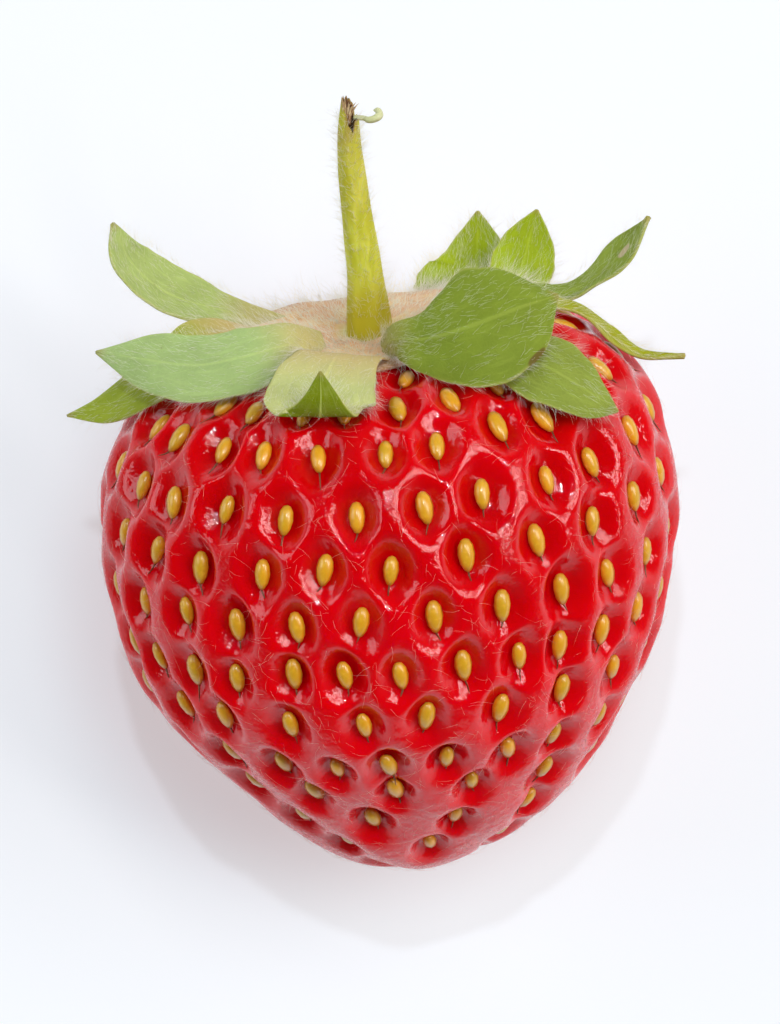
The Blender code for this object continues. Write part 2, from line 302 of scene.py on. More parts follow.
class Finish:
    """One material with a Principled shader."""

    def __init__(self, name, **constants):
        self.material = bpy.data.materials.new(name)
        self.material.use_nodes = True
        self.tree = self.material.node_tree
        self.shader = self.tree.nodes["Principled BSDF"]
        for key, value in constants.items():
            self.shader.inputs[key.replace("_", " ")].default_value = value

    def node(self, kind, settings=None, sockets=None, out=0):
        """A node of that kind: its settings are set first, then its sockets' values or links."""
        made = self.tree.nodes.new(kind)
        for key, value in (settings or {}).items():
            setattr(made, key, value)
        for key, value in (sockets or {}).items():
            if isinstance(value, Value):
                self.tree.links.new(value.socket, made.inputs[key])
            else:
                made.inputs[key].default_value = value
        return Value(self, made.outputs[out])

    def place(self):
        """Object coordinates, in metres."""
        return self.node("ShaderNodeTexCoord", out="Object")

    def attribute(self, name):
        """A number stored at every point of the piece."""
        return self.node("ShaderNodeAttribute", {"attribute_name": name}, out="Fac")

    def noise(self, size_mm, detail=2.0, at=None, roughness=0.5):
        """Noise from 0 to 1 with features about size_mm across."""
        return self.node("ShaderNodeTexNoise", None, {"Vector": at or self.place(),
                                                       "Scale": 1.0 / (size_mm * MM),
                                                       "Detail": detail, "Roughness": roughness})

    def mix(self, share, first, second):
        """Colour between first and second."""
        first, second = (c if isinstance(c, Value) else (*c, 1.0) for c in (first, second))
        return self.node("ShaderNodeMix", {"data_type": "RGBA"}, {0: share, 6: first, 7: second}, 2)

    def feed(self, socket, value):
        """Link a value to a socket of the shader."""
        self.tree.links.new(value.socket, self.shader.inputs[socket])

    def bump(self, height, strength, distance_mm):
        """Feed Normal from a Bump node."""
        self.feed("Normal", self.node("ShaderNodeBump", None, {
            "Strength": strength, "Distance": distance_mm * MM, "Height": height}))


# %% [markdown]
# ## The flesh
# The flesh could be sculpted, but two hundred dimples by hand would take days.  Here the mesh is a
# grid of directions: rows from the tip to the stalk end, columns round the core, packed closer on
# top, where the eye falls.  Each point is asked from the flesh formula.

# %% The flesh mesh
FLESH_ROWS, FLESH_COLUMNS = 250, 396
arc = np.linspace(0, 1, FLESH_ROWS + 2)[1:-1]
lap = np.linspace(0, 2 * np.pi, FLESH_COLUMNS, endpoint=False)
turns = lap + 0.35 * np.cos(lap)
flesh_way = towards(np.pi * arc[:, None], turns[None])
flesh_points, flesh_ring = flesh_point(flesh_way.reshape(-1, 3))
ends, ends_ring = flesh_point(np.array([-CORE, CORE]))
flesh_grid = flesh_points.reshape(FLESH_ROWS, FLESH_COLUMNS, 3)
flesh = closed_grid("flesh", flesh_grid, ends[0], ends[1],
                    {"ring": flesh_ring.reshape(FLESH_ROWS, FLESH_COLUMNS)})

# %% [markdown]
# ## The skin of the flesh
# Ripe skin is a deep red with a thin wet gloss.  A flat red would look like enamel.  Light enters
# the flesh and comes out again, so the shader has strong subsurface scattering, mostly in the red.
# The gloss is broken by a skin of tiny pores.  The ridges carry a painted sheen: a pale pink mixed
# into the colour where the skin is seen at a low angle.  Painted light also makes the red lighter
# towards lower Y, the tip's end.

# %% The finish of the flesh
PORE_HEIGHT = 0.050      # mm
ripe = Finish("ripe_flesh", Subsurface_Weight=0.85, Subsurface_Radius=(1.0, 0.05, 0.03),
              Subsurface_Scale=1.8 * MM, IOR=1.46)
ring = ripe.attribute("ring")
inside = 1 - ring.between(0.60, 1.02)
tone = ripe.noise(6.0, 3.0)
red = ripe.mix(tone.between(0.3, 0.7), (0.62, 0.0, 0.003), (0.70, 0.0, 0.005))
red = ripe.mix(inside * 0.35, red, (0.68, 0.0, 0.001))
# painted light: the red is lighter towards lower Y, the tip's end, where the lamps light the flesh less
along_y = ripe.node("ShaderNodeSeparateXYZ", None, {0: ripe.place()}, "Y")
red = ripe.mix((0 - along_y).between(-0.004, 0.014), red, (0.78, 0.0, 0.006))
flakes = ripe.noise(0.24, 5.0, roughness=0.75)
# painted sheen: a pale pink mixed into the colour on ridges seen at a low angle; the same mask also
# makes them rougher
grazing = ripe.node("ShaderNodeLayerWeight", None, {"Blend": 0.5}, "Facing").between(0.28, 0.90)
ridge = ring.between(0.95, 1.35)
matte_and_painted_sheen = ridge * grazing * flakes.between(0.38, 0.60)
red = ripe.mix(matte_and_painted_sheen * 0.50, red, (0.72, 0.19, 0.22))
ripe.feed("Base Color", red)
ripe.feed("Roughness", 0.06 + 0.02 * ridge + 0.34 * matte_and_painted_sheen)
grains = 0.6 * ripe.noise(0.15, 1.0) + 1.6 * ripe.noise(0.6, 1.0)
ripe.bump((0.50 + 0.50 * ridge) * grains, 1.0, PORE_HEIGHT)
dress(flesh, ripe.material, "ripe_flesh", "berry")

# %% [markdown]
# ## Achenes
# An achene is a plump teardrop, a little flattened, with its point towards the tip of the berry.
# Two hundred of them share one small grid: rings whose half width follows a semicircle that is
# sharpened at the pointed end.  An attribute runs along each one, so that the material can turn
# from gold to brown at the point, where the dry thread of the flower's style is still attached.

# %% The achene meshes
ACHENE_LONG, ACHENE_WIDE, ACHENE_THICK = 0.90, 0.47, 0.40      # half sizes, mm
ACHENE_SUNK = 0.62                                             # mm of the middle below the skin


def many(name, local, poles, attributes=None):
    """Small closed grids in a single mesh: local is (count, rows, columns, 3), poles the end points."""
    count, rows, columns = local.shape[:3]
    index = np.arange(rows * columns).reshape(rows, columns)
    right = np.roll(index, -1, axis=1)
    quads = np.stack([index[:-1], right[:-1], right[1:], index[1:]], -1).reshape(-1, 4)
    one, end = rows * columns, rows * columns + 1
    start_fan = np.stack([right[0], index[0], np.full(columns, one)], -1)
    end_fan = np.stack([index[-1], right[-1], np.full(columns, end)], -1)
    size = rows * columns + 2
    points = np.concatenate([local.reshape(count, -1, 3), poles], axis=1)
    a, b = points[0, quads[:, 0]], points[0, quads[:, 1]]
    c, d = points[0, quads[:, 2]], points[0, quads[:, 3]]
    middle = points[0].mean(0)
    facing = np.sum(np.cross(c - a, d - b) * ((a + c) / 2 - middle), -1).sum()
    step = 1 if facing > 0 else -1
    offsets = (np.arange(count) * size)[:, None, None]
    faces = (quads[None, :, ::step] + offsets).reshape(-1, 4).tolist()
    for fan in (start_fan, end_fan):
        faces += (fan[None, :, ::step] + offsets).reshape(-1, 3).tolist()
    made = put_mesh(name, points.reshape(-1, 3), faces, attributes)
    print(name, count, "copies,", len(faces), "faces")
    return made


n_achenes = len(achene_at)
jitter = np.random.RandomState(5)
roll = np.radians(jitter.normal(0, 7, n_achenes))[:, None]
long_way = np.cos(roll) * achene_down + np.sin(roll) * achene_side
wide_way = np.cos(roll) * achene_side - np.sin(roll) * achene_down
achene_scale = jitter.uniform(0.90, 1.08, n_achenes) * np.interp(
    np.degrees(achene_phi), (0, 40, 151), (0.82, 0.97, 1.0))
achene_middle = achene_at - (ACHENE_SUNK * dimple_deep)[:, None] * achene_out

s = np.sin(np.radians((-64, -35, -3, 30, 63)))[:, None]
around = np.linspace(0, 2 * np.pi, 8, endpoint=False)[None]
girth = np.sqrt(1 - s * s) * (1 - 0.10 * s) * (1 - 0.08 * np.clip(s, 0, 1) ** 2)
x = ACHENE_WIDE * girth * np.cos(around)
z = ACHENE_THICK * girth * np.sin(around)
y = ACHENE_LONG * s + 0 * around
scale = achene_scale[:, None, None, None]
achene_grid = achene_middle[:, None, None] + scale * (
    x[None, ..., None] * wide_way[:, None, None] + y[None, ..., None] * long_way[:, None, None]
    + z[None, ..., None] * achene_out[:, None, None])
tips = np.stack([achene_middle - ACHENE_LONG * achene_scale[:, None] * long_way,
                 achene_middle + 1.03 * ACHENE_LONG * achene_scale[:, None] * long_way], axis=1)
lengthwise = np.concatenate([np.broadcast_to(s, (5, 8)).ravel(), [-1.0, 1.0]])
shade = jitter.uniform(0, 1, n_achenes)
achenes = many("achenes", achene_grid, tips,
               {"lengthwise": np.tile(lengthwise, n_achenes),
                "shade": np.repeat(shade, len(lengthwise))})

# %% [markdown]
# ## The look of an achene
# Achenes are dry and slightly waxy, so they have a soft coat over a rougher shell.  No two are the
# same gold: the attribute "shade" picks a tone for each one.  They are darker at the point.  Along
# their outline a darker red-brown is painted in, as painted shade and painted red reflection where
# the shell turns away, and paler blotches are painted highlights.

# %% The finish of the achenes
gold = Finish("achene_gold", Roughness=0.34, Coat_Weight=0.5, Coat_Roughness=0.16,
              Subsurface_Weight=0.15, Subsurface_Radius=(1.0, 0.6, 0.2), Subsurface_Scale=0.5 * MM)
down_it = gold.attribute("lengthwise")
one_by_one = gold.attribute("shade")
body = gold.mix(one_by_one, (0.80, 0.37, 0.012), (0.66, 0.36, 0.012))
# painted highlight: paler gold blotches scattered by noise over each achene
body = gold.mix(gold.noise(0.25, 2.0).between(0.45, 0.8) * 0.5, body, (0.90, 0.52, 0.05))
body = gold.mix(down_it.between(0.50, 1.0) * 0.70, body, (0.44, 0.14, 0.010))
body = gold.mix((0 - down_it).between(0.5, 1.0) * 0.4, body, (0.42, 0.22, 0.03))
# painted shade and painted red reflection: a darker red-brown along each achene's outline, where the
# shell turns away
rounded = gold.node("ShaderNodeLayerWeight", None, {"Blend": 0.5}, "Facing").between(0.35, 0.95)
body = gold.mix(rounded * 0.75, body, (0.52, 0.17, 0.012))
gold.feed("Base Color", body)
gold.bump(gold.noise(0.12, 2.0), 0.25, 0.02)
dress(achenes, gold.material, "ripe_flesh")

# %% [markdown]
# ## Hairs and threads
# A hair is a thin bent cone.  A curve or a particle system would also do, but a small closed
# mesh travels better.  Each hair has three rings of three points and a tip; its middle line is
# root + length * (s * way + s * s * bend), so `bend` says how far the tip strays.

# %% One function for hairs
def hairs(name, roots, ways, bends, lengths, thick):
    """Tapered three-sided hairs; thick is the radius at the root, mm."""
    count = len(roots)
    ways = unit(ways)
    side = unit(np.cross(ways, unit(np.random.RandomState(3).normal(size=(count, 3)))))
    other = np.cross(side, ways)
    s = np.array((0.0, 0.38, 0.72))
    turn = np.radians((0, 120, 240))
    lengths, thick = (np.broadcast_to(v, count)[:, None, None] for v in (lengths, thick))
    line = roots[:, None] + lengths * (s[None, :, None] * ways[:, None]
                                       + (s ** 2)[None, :, None] * bends[:, None])
    spoke = (np.cos(turn)[None, :, None] * side[:, None]
             + np.sin(turn)[None, :, None] * other[:, None])
    ring = line[:, :, None] + (thick * (1 - 0.62 * s)[None, :, None])[..., None] * spoke[:, None]
    end = roots + lengths[:, 0] * (ways + bends)
    start = roots - 0.01 * ways
    return many(name, ring, np.stack([start, end], 1))


# %% [markdown]
# ## Threads of the styles
# Each achene ends in the dry remains of its style, a dark thread less than a millimetre long.  The
# hair function makes them too, only thicker and stiffer than down.

# %% Dry threads at the points of the achenes
thread_luck = np.random.RandomState(23)
thread_root = achene_middle + (0.96 * ACHENE_LONG * achene_scale)[:, None] * long_way
thread_way = long_way + 0.12 * achene_out + thread_luck.normal(0, 0.28, (n_achenes, 1)) * wide_way
threads = hairs("style_threads", thread_root, thread_way,
                0.35 * thread_luck.normal(0, 0.5, (n_achenes, 3)),
                thread_luck.uniform(0.35, 0.95, n_achenes), 0.07)
brown = Finish("dry_thread", Roughness=0.6)
brown.feed("Base Color", brown.mix(brown.noise(0.4), (0.14, 0.030, 0.010), (0.30, 0.09, 0.03)))
dress(threads, brown.material, "ripe_flesh")

# %% [markdown]
# ## Leaves of the cap
# Each leaf is a blade carried along a middle line.  A row gives its control points from foot to
# tip, the way across it at the foot and at the tip, its half widths, and how hollow it is.  They
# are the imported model's, but for small changes to sepal_1, sepal_3 and sepal_4.  The section is a
# flattened loop with a rounded rim, so one closed grid makes both faces and the edge.  Ripples
# along the rim and a raised midrib are part of the shape; the side veins come with the finish.

# %% Middle lines, widths and colours of the leaves
LEAVES = {
    "sepal_1": (((-8.0, 12.9, 16.2), (-9.9, 13.45, 16.7), (-12.2, 14.3, 17.0), (-14.2, 16.0, 17.1),
                 (-15.1, 18.1, 17.0)), (0.2, 0.6, -0.75), (0.4, 0.6, -0.65),
                (1.2, 1.5, 1.9, 1.6, 0.05), 0.25),
    "sepal_2": (((-5.2, 11.05, 23.8), (-7.6, 10.4, 24.3), (-10.2, 9.95, 23.6), (-13.0, 10.35, 22.1),
                 (-15.9, 10.85, 20.2)), (0.0, 0.85, -0.5), (0.0, 0.9, -0.4),
                (1.5, 2.0, 2.05, 1.6, 0.05), -0.12),
    "sepal_3": (((4.8, 14.95, 12.0), (5.0, 15.7, 11.8), (5.08, 16.5, 11.7), (5.12, 17.7, 11.8),
                 (5.12, 18.95, 12.1)), (0.98, -0.1, 0.1), (1.0, 0.0, 0.0),
                (2.95, 2.40, 1.85, 1.05, 0.05), 0.12),
    "sepal_4": (((-2.5, 10.5, 25.4), (-3.3, 9.1, 27.5), (-3.55, 7.9, 28.9), (-3.5, 7.35, 29.6),
                 (-3.45, 8.2, 30.3), (-3.5, 9.65, 30.2)), (-1.0, 0.1, -0.18), (-1.0, 0.0, 0.0),
                (2.3, 2.8, 2.95, 1.95, 1.0, 0.04), 0.03),
    "sepal_5": (((0.45, 11.4, 25.1), (2.2, 11.4, 26.2), (4.6, 12.0, 27.0), (7.2, 13.0, 26.7),
                 (9.3, 13.8, 25.4)), (0.2, -0.85, 0.4), (0.2, -0.88, 0.35),
                (0.9, 2.0, 3.45, 2.8, 0.05), -0.12),
    "bractlet_1": (((-9.45, 11.65, 19.65), (-10.7, 10.75, 20.65), (-12.6, 9.5, 20.4),
                    (-15.2, 7.95, 18.5), (-17.6, 7.4, 16.8)), (-0.2, 0.75, -0.6), (-0.2, 0.8, -0.5),
                   (1.5, 1.8, 1.6, 1.0, 0.05), -0.1),
    "bractlet_2": (((7.2, 14.6, 13.9), (7.45, 15.4, 13.6), (7.75, 16.4, 13.5), (8.05, 17.6, 13.6),
                    (8.4, 18.95, 13.9)), (0.97, -0.2, 0.0), (0.95, -0.3, 0.0),
                   (1.4, 1.75, 1.7, 1.2, 0.05), 0.15),
    "bractlet_3": (((7.4, 14.3, 15.9), (9.9, 14.2, 16.5), (11.6, 15.1, 17.0), (13.15, 16.5, 17.5),
                    (14.5, 18.4, 18.1)), (0.3, -0.45, 0.8), (0.3, -0.5, 0.75),
                   (0.7, 0.85, 1.0, 1.15, 0.05), 0.2),
    "bractlet_4": (((8.2, 13.7, 18.9), (10.6, 13.2, 18.9), (12.4, 11.85, 18.7), (14.1, 10.8, 18.4),
                    (16.5, 10.7, 18.0)), (0.1, -0.35, 0.93), (0.1, -0.45, 0.88),
                   (0.7, 1.0, 1.05, 0.7, 0.05), 0.1),
    "bractlet_5": (((5.5, 11.15, 25.0), (7.3, 10.5, 25.8), (9.1, 9.6, 26.5), (11.0, 8.4, 26.7),
                    (12.5, 7.5, 25.8)), (-0.4, -0.65, 0.45), (-0.4, -0.6, 0.5),
                   (1.4, 2.0, 2.2, 1.5, 0.05), -0.1),
}
# outer face, inner face (linear colours)
GREENS = {"sepal_1": ((0.40, 0.48, 0.15), (0.30, 0.42, 0.06)),
          "sepal_2": ((0.41, 0.53, 0.19), (0.28, 0.40, 0.05)),
          "sepal_3": ((0.34, 0.43, 0.012), (0.30, 0.40, 0.015)),
          "sepal_4": ((0.55, 0.57, 0.22), (0.175, 0.22, 0.0)),
          "sepal_5": ((0.21, 0.275, 0.025), (0.20, 0.28, 0.02)),
          "bractlet_1": ((0.36, 0.42, 0.035), (0.30, 0.38, 0.03)),
          "bractlet_2": ((0.36, 0.46, 0.015), (0.32, 0.42, 0.02)),
          "bractlet_3": ((0.26, 0.33, 0.045), (0.25, 0.33, 0.04)),
          "bractlet_4": ((0.37, 0.38, 0.005), (0.35, 0.37, 0.005)),
          "bractlet_5": ((0.27, 0.33, 0.050), (0.26, 0.33, 0.04))}
# how tan the woolly foot is; the other leaves that start over the disc take MOST_WOOLLY
WOOLLY, MOST_WOOLLY = {"sepal_1": 0.55, "sepal_2": 0.60, "sepal_5": 0.35}, 0.8
# place lengthways and across, size lengthways and across (shares of the leaf), colour
SPOTS = {"sepal_5": ((0.78, 0.96, 0.05, 0.10, (0.13, 0.07, 0.015)),),
         "bractlet_3": ((0.80, 0.05, 0.05, 0.28, (0.62, 0.48, 0.32)),)}
BLADE_THICK, MIDRIB_UP = 0.26, 0.06       # mm
STALK_FOOT = np.array((-0.95, 12.9, 19.5))
DISC_EDGE, DISC_GAP, DISC_THICK = 26.0, 0.25, 0.75       # degrees, mm, mm
DISC_REACH = 30.0        # degrees from the core within which a leaf starts over the disc
ROOTING = 2.3            # mm by which a leaf's foot runs on over the disc
FOLDED = 6               # a leaf with more middle points than this is folded, and has a calmer rim
print(len(LEAVES), "leaves")


def curve(points, t):
    """Points at t (0 to 1) on the smooth curve through evenly spaced control points."""
    points = np.array(points, float)
    points = np.vstack([2 * points[:1] - points[1:2], points, 2 * points[-1:] - points[-2:-1]])
    spans = len(points) - 3
    x = np.clip(t, 0, 1) * spans
    i = np.minimum(x.astype(int), spans - 1)
    x = (x - i)[..., None]
    a, b, c, d = (points[i + k] for k in range(4))
    return 0.5 * (2 * b + (c - a) * x + (2 * a - 5 * b + 4 * c - d) * x ** 2
                  + (3 * b - a - 3 * c + d) * x ** 3)


def leaf_frame(leaf, u):
    """Middle point, along, side and up vectors and half width of a leaf at u."""
    path, side_foot, side_tip, halves, hollow = leaf
    here = curve(path, u)
    along = unit(curve(path, u + 0.02) - curve(path, u - 0.02))
    side = (1 - u[:, None]) * np.array(side_foot) + u[:, None] * np.array(side_tip)
    side = unit(side - dot(side, along) * along)
    half = np.maximum(0.03, curve(np.array(halves)[:, None], u))
    return here, along, side, np.cross(side, along), half


def over_disc(leaf):
    """Whether a leaf starts over the disc: its first point is within DISC_REACH of the core."""
    return unit(np.array(leaf[0][0]) - CENTRE) @ CORE > math.cos(math.radians(DISC_REACH))


def rooted(leaf):
    """The leaf with its foot carried on: flat over the disc, or straight on beyond it."""
    path, side_foot, side_tip, halves, hollow = leaf
    foot = np.array(path[0])
    if over_disc(leaf):
        way = unit(foot + ROOTING * unit(STALK_FOOT - foot) - CENTRE)
        root = skin(way[None])[0] + 0.25 * DISC_THICK * way
    else:
        root = foot + 0.5 * ROOTING * unit(foot - np.array(path[1]))
    return (tuple(root), *path), side_foot, side_tip, (1.05 * halves[0], *halves), hollow


def leaf_surface(leaf, u, v, lift, phase):
    """Points of a leaf: middle line + v * half * side, hollowed, rippled, and lifted off it."""
    here, along, side, up, half = leaf_frame(leaf, u)
    hollow = leaf[4]
    here, side, up, half = (a[:, None] for a in (here, side, up, half))
    uu, vv = u[:, None, None], v[None, :, None]
    ripple = 0.10 * np.abs(vv) ** 2 * np.sin(13 * uu + phase + 1.5 * np.sign(vv)) \
        + 0.05 * np.sin(9 * uu + 4 * vv + 2 * phase)
    ripple = ripple * np.sin(np.pi * np.clip(uu, 0, 1)) ** 0.5
    if len(leaf[0]) > FOLDED:
        ripple = 0.3 * ripple
    sag = hollow * half * (vv * vv - 0.35) + ripple
    normal = unit(up - 2 * hollow * vv * side)
    wavy = 1 + 0.014 * np.sin(31 * uu + phase) + 0.007 * np.sin(57 * uu + 2 * phase)
    return here + vv * half * wavy * side + sag * up + lift[None, :, None] * normal


# %% [markdown]
# ## The blade of a leaf
# A flat sheet with a Solidify modifier would have a square rim.  Here the loop round the blade is
# cosine across and a flattened sine through it, which gives a rim as round as a real leaf's.

# %% The mesh of a leaf
def leaf_piece(name, leaf, phase, rows=90, around=64):
    """A closed blade: a flattened loop carried from the foot to the tip."""
    u = np.linspace(0.0, 0.995, rows)
    turn = 2 * np.pi * np.arange(around) / around
    v = np.sign(np.cos(turn)) * (1 - (1 - np.abs(np.cos(turn))) ** 1.15)
    lift = 0.5 * BLADE_THICK * np.sign(np.sin(turn)) * np.abs(np.sin(turn)) ** 0.5
    grid = leaf_surface(leaf, u, v, lift, phase)
    up = leaf_frame(leaf, u)[3]
    raised = MIDRIB_UP * np.exp(-(v / 0.12) ** 2) * np.sign(np.sin(turn))
    grid = grid + raised[None, :, None] * up[:, None]
    across = np.broadcast_to(v, (rows, around))
    lengthways = np.broadcast_to(u[:, None], (rows, around))
    inner = np.broadcast_to((np.sin(turn) < 0).astype(float), (rows, around))
    return closed_grid(name + "_blade", grid, grid[0].mean(0), curve(leaf[0], np.array([1.0]))[0],
                       {"across": across, "lengthways": lengthways, "inner": inner})


# %% [markdown]
# ## The look of a leaf
# A leaf of the cap is a soft matt green, paler on its veins and browner at its rim and tip.  The
# veins could be painted on an image, but a formula stays sharp at any distance: the midrib is
# where `across` is near nought, and a side vein is where a slanted wave of `lengthways` and
# `across` comes to its turning points.

# %% The finish of a leaf
def leaf_finish(name, outer, inner_green, seed, woolly, spots=()):
    """Soft green with pale streaks and veins, a yellow rim, brown flecks and a woolly foot."""
    f = Finish(name, Subsurface_Weight=0.10, Subsurface_Radius=(0.6, 1.0, 0.2),
               Subsurface_Scale=0.6 * MM, Specular_IOR_Level=0.08)
    across, lengthways, inner = (f.attribute(key) for key in ("across", "lengthways", "inner"))
    aside = across.maths("ABSOLUTE", across)
    slant = 7.0 * (lengthways - 0.30 * aside ** 0.8)
    side_vein = (1 - slant.maths("PINGPONG", slant, 0.5).between(0.0, 0.06)) * (1 - aside)
    rib = (1 - aside.between(0.015, 0.055)) * (1 - 0.5 * lengthways)
    vein = rib + 0.5 * side_vein
    green = f.mix(inner, outer, inner_green)
    dark = tuple(0.66 * c for c in outer)
    pale = tuple(1.22 * c + extra for c, extra in zip(outer, (0.05, 0.05, 0.02)))
    duller = 1 - 0.75 * inner
    mottled = f.noise(1.6, 4.0, roughness=0.6)
    green = f.mix(mottled.between(0.35, 0.7) * duller * 0.40, green, dark)
    blade = f.node("ShaderNodeCombineXYZ", None, {0: across * 7.0, 1: lengthways * 5.0, 2: seed})
    streaks = f.node("ShaderNodeTexNoise", None, {"Vector": blade, "Scale": 1.0, "Detail": 4.0,
                                                  "Roughness": 0.65}).between(0.50, 0.68)
    green = f.mix(streaks * duller * 0.40, green, pale)
    cells = f.node("ShaderNodeTexVoronoi", {"feature": "DISTANCE_TO_EDGE"},
                   {"Vector": f.place(), "Scale": 1.0 / (0.30 * MM)})
    lines = 1 - cells.between(0.0, 0.12)
    green = f.mix(duller * (lines * 0.15 + vein * 0.55), green, pale)
    green = f.mix(rib * (0.15 + 0.75 * inner), green, (0.55, 0.60, 0.14))
    rim = (across * across).between(0.86, 1.0)
    green = f.mix(rim * 0.5, green, (0.50, 0.48, 0.14))
    green = f.mix(lengthways.between(0.94, 1.0) * 0.6, green, (0.42, 0.30, 0.10))
    flecks = f.noise(0.5, 2.0).between(0.73, 0.78)
    green = f.mix(flecks * 0.35, green, (0.16, 0.11, 0.03))
    for far, side, long, wide, colour in spots:
        off = ((lengthways - far) / long) ** 2.0 + ((across - side) / wide) ** 2.0
        green = f.mix((1 - off.between(0.5, 1.0)) * 0.85, green, colour)
    foot = 1 - (lengthways + 0.12 * (mottled - 0.5)).between(0.12, 0.38)
    green = f.mix(foot * woolly, green, (0.62, 0.42, 0.18))
    f.feed("Base Color", green)
    f.feed("Roughness", 0.46 + 0.18 * mottled)
    f.bump(f.noise(0.22, 3.0) + 0.5 * lines + 0.8 * streaks - 1.6 * vein, 0.40, 0.05)
    return f.material


for number, (name, leaf) in enumerate(LEAVES.items()):
    blade = leaf_piece(name, rooted(leaf), 1.7 * number)
    kind = "sepal_green" if name.startswith("sepal") else "bractlet_green"
    woolly = WOOLLY.get(name, MOST_WOOLLY) if over_disc(leaf) else 0.0
    finish = leaf_finish(name + "_green", *GREENS[name], 3.7 * number, woolly, SPOTS.get(name, ()))
    dress(blade, finish, kind, name)

# %% [markdown]
# ## The disc
# The leaves and the stalk grow from a low, woolly disc that follows the skin under it.  A flat
# cylinder would stand off the berry, so every point of the disc is asked from the skin formula and
# lifted.  Its edge waves, runs on under the back leaves, and curls up along the far rim.

# %% The disc mesh
RUN_ON, RUN_ON_AT, RUN_ON_WIDE = 10.0, 5.6, 0.26         # degrees of edge, turn, half width
FAR_CURL, RIGHT_CURL = 0.55, 0.90                        # mm


def disc_point(share, thick, turn):
    """A point of the disc: share of the way to its edge, thick of the way up from the skin."""
    edge = DISC_EDGE - 2.0 * np.cos(turn) + 0.6 * np.sin(5 * turn)
    edge = edge + RUN_ON * np.exp(-(np.sin((turn - RUN_ON_AT) / 2) / RUN_ON_WIDE) ** 2)
    way = towards(np.pi - np.radians(share * edge), turn)
    lumps = 0.10 * np.sin(7 * turn + 9 * share) * np.sin(11 * share + 1) \
        + 0.06 * np.sin(17 * turn) * share
    lumps = lumps + share ** 2 * (FAR_CURL * np.clip(-np.sin(turn), 0, 1)
                                  + RIGHT_CURL * np.clip(-np.sin(turn + 0.7), 0, 1))
    return skin(way) + (DISC_GAP - 0.2 + DISC_THICK * thick + lumps * thick)[..., None] * way


section = np.linspace(0, np.pi, 44)[1:-1]
disc_turn = np.linspace(0, 2 * np.pi, 120, endpoint=False)
share = np.where(section < 0.6, section / 0.6,
                 np.clip((np.pi - section) / (np.pi - 0.6), 0, 1) ** 0.8)
thick = np.where(section < 0.6, 0.0, 1 - 0.55 * share ** 2)
thick = thick * np.clip((section - 0.5) / 0.35, 0, 1) ** 0.5
disc_grid = disc_point(*np.broadcast_arrays(share[:, None], thick[:, None], disc_turn[None]))
zero = np.zeros(1)
disc = closed_grid("disc", disc_grid, disc_point(zero, zero, zero)[0],
                   disc_point(zero, zero + 1, zero)[0],
                   {"share": np.broadcast_to(share[:, None], disc_grid.shape[:2])})

# %% [markdown]
# ## The look of the disc
# The disc is a tan felt, greener in the middle where the stalk starts and browner at its edge.  A
# rough shader with a little sheen gives the felt its body, and the down is laid over it later.

# %% The finish of the disc
wool = Finish("hairy_disc", Roughness=0.85, Sheen_Weight=0.15, Sheen_Roughness=0.5,
              Subsurface_Weight=0.1, Subsurface_Scale=0.6 * MM)
out = wool.attribute("share")
tan = wool.mix(wool.noise(1.8, 4.0).between(0.35, 0.65), (0.80, 0.55, 0.25), (0.74, 0.41, 0.20))
tan = wool.mix(wool.noise(0.6, 4.0).between(0.5, 0.75) * 0.5, tan, (0.44, 0.20, 0.08))
tan = wool.mix((1 - out.between(0.12, 0.32)) * 0.8, tan, (0.52, 0.50, 0.12))
tan = wool.mix(out.between(0.75, 1.0) * 0.5, tan, (0.42, 0.22, 0.12))
wool.feed("Base Color", tan)
wool.bump(wool.noise(0.35, 4.0), 0.6, 0.12)
dress(disc, wool.material, "hairy_disc", "calyx_disc")

# %% [markdown]
# ## The stalk
# The stalk is a soft ribbed tube that flares into the disc.  It was torn from the plant, so its
# top thins out, ends in uneven fibres and has one pale strand curling away.

# %% Points along the stalk
STALK_PATH = ((-0.95, 12.9, 19.5), (-1.2, 15.5, 20.2), (-1.65, 18.8, 21.2), (-2.0, 22.1, 22.2),
              (-2.0, 24.7, 22.9))
STALK_RADII = (1.15, 0.95, 0.80, 0.65, 0.42)
STRAND_PATH = ((-1.22, 23.55, 22.6), (-0.95, 23.45, 22.8), (-0.62, 23.5, 22.9), (-0.36, 23.7, 22.8),
               (-0.45, 23.95, 22.6))


def tube(path, radii, u, turn, ribs=0.0):
    """A ribbed tube: path point + radius * (cosine * side + sine * up); u and turn broadcast."""
    u, turn = np.broadcast_arrays(u, turn)
    here = curve(path, u)
    along = unit(curve(path, u + 0.02) - curve(path, u - 0.02))
    side = unit(np.cross(along, (0.0, 0.0, 1.0)))
    up = np.cross(side, along)
    wave = 1 + ribs * (np.sin(6 * turn + 3 * u) + 0.5 * np.sin(11 * turn + 1.3)
                       + 0.6 * np.sin(23 * u))
    radius = curve(np.array(radii)[:, None], u) * wave[..., None]
    return here + radius * (np.cos(turn)[..., None] * side + np.sin(turn)[..., None] * up)


# %% [markdown]
# ## The torn top
# The tube could simply stop, but a torn stalk has a thin wall round a hollow.  The rows of the
# grid end at a height that changes round the stalk, then turn over the rim and run down inside.

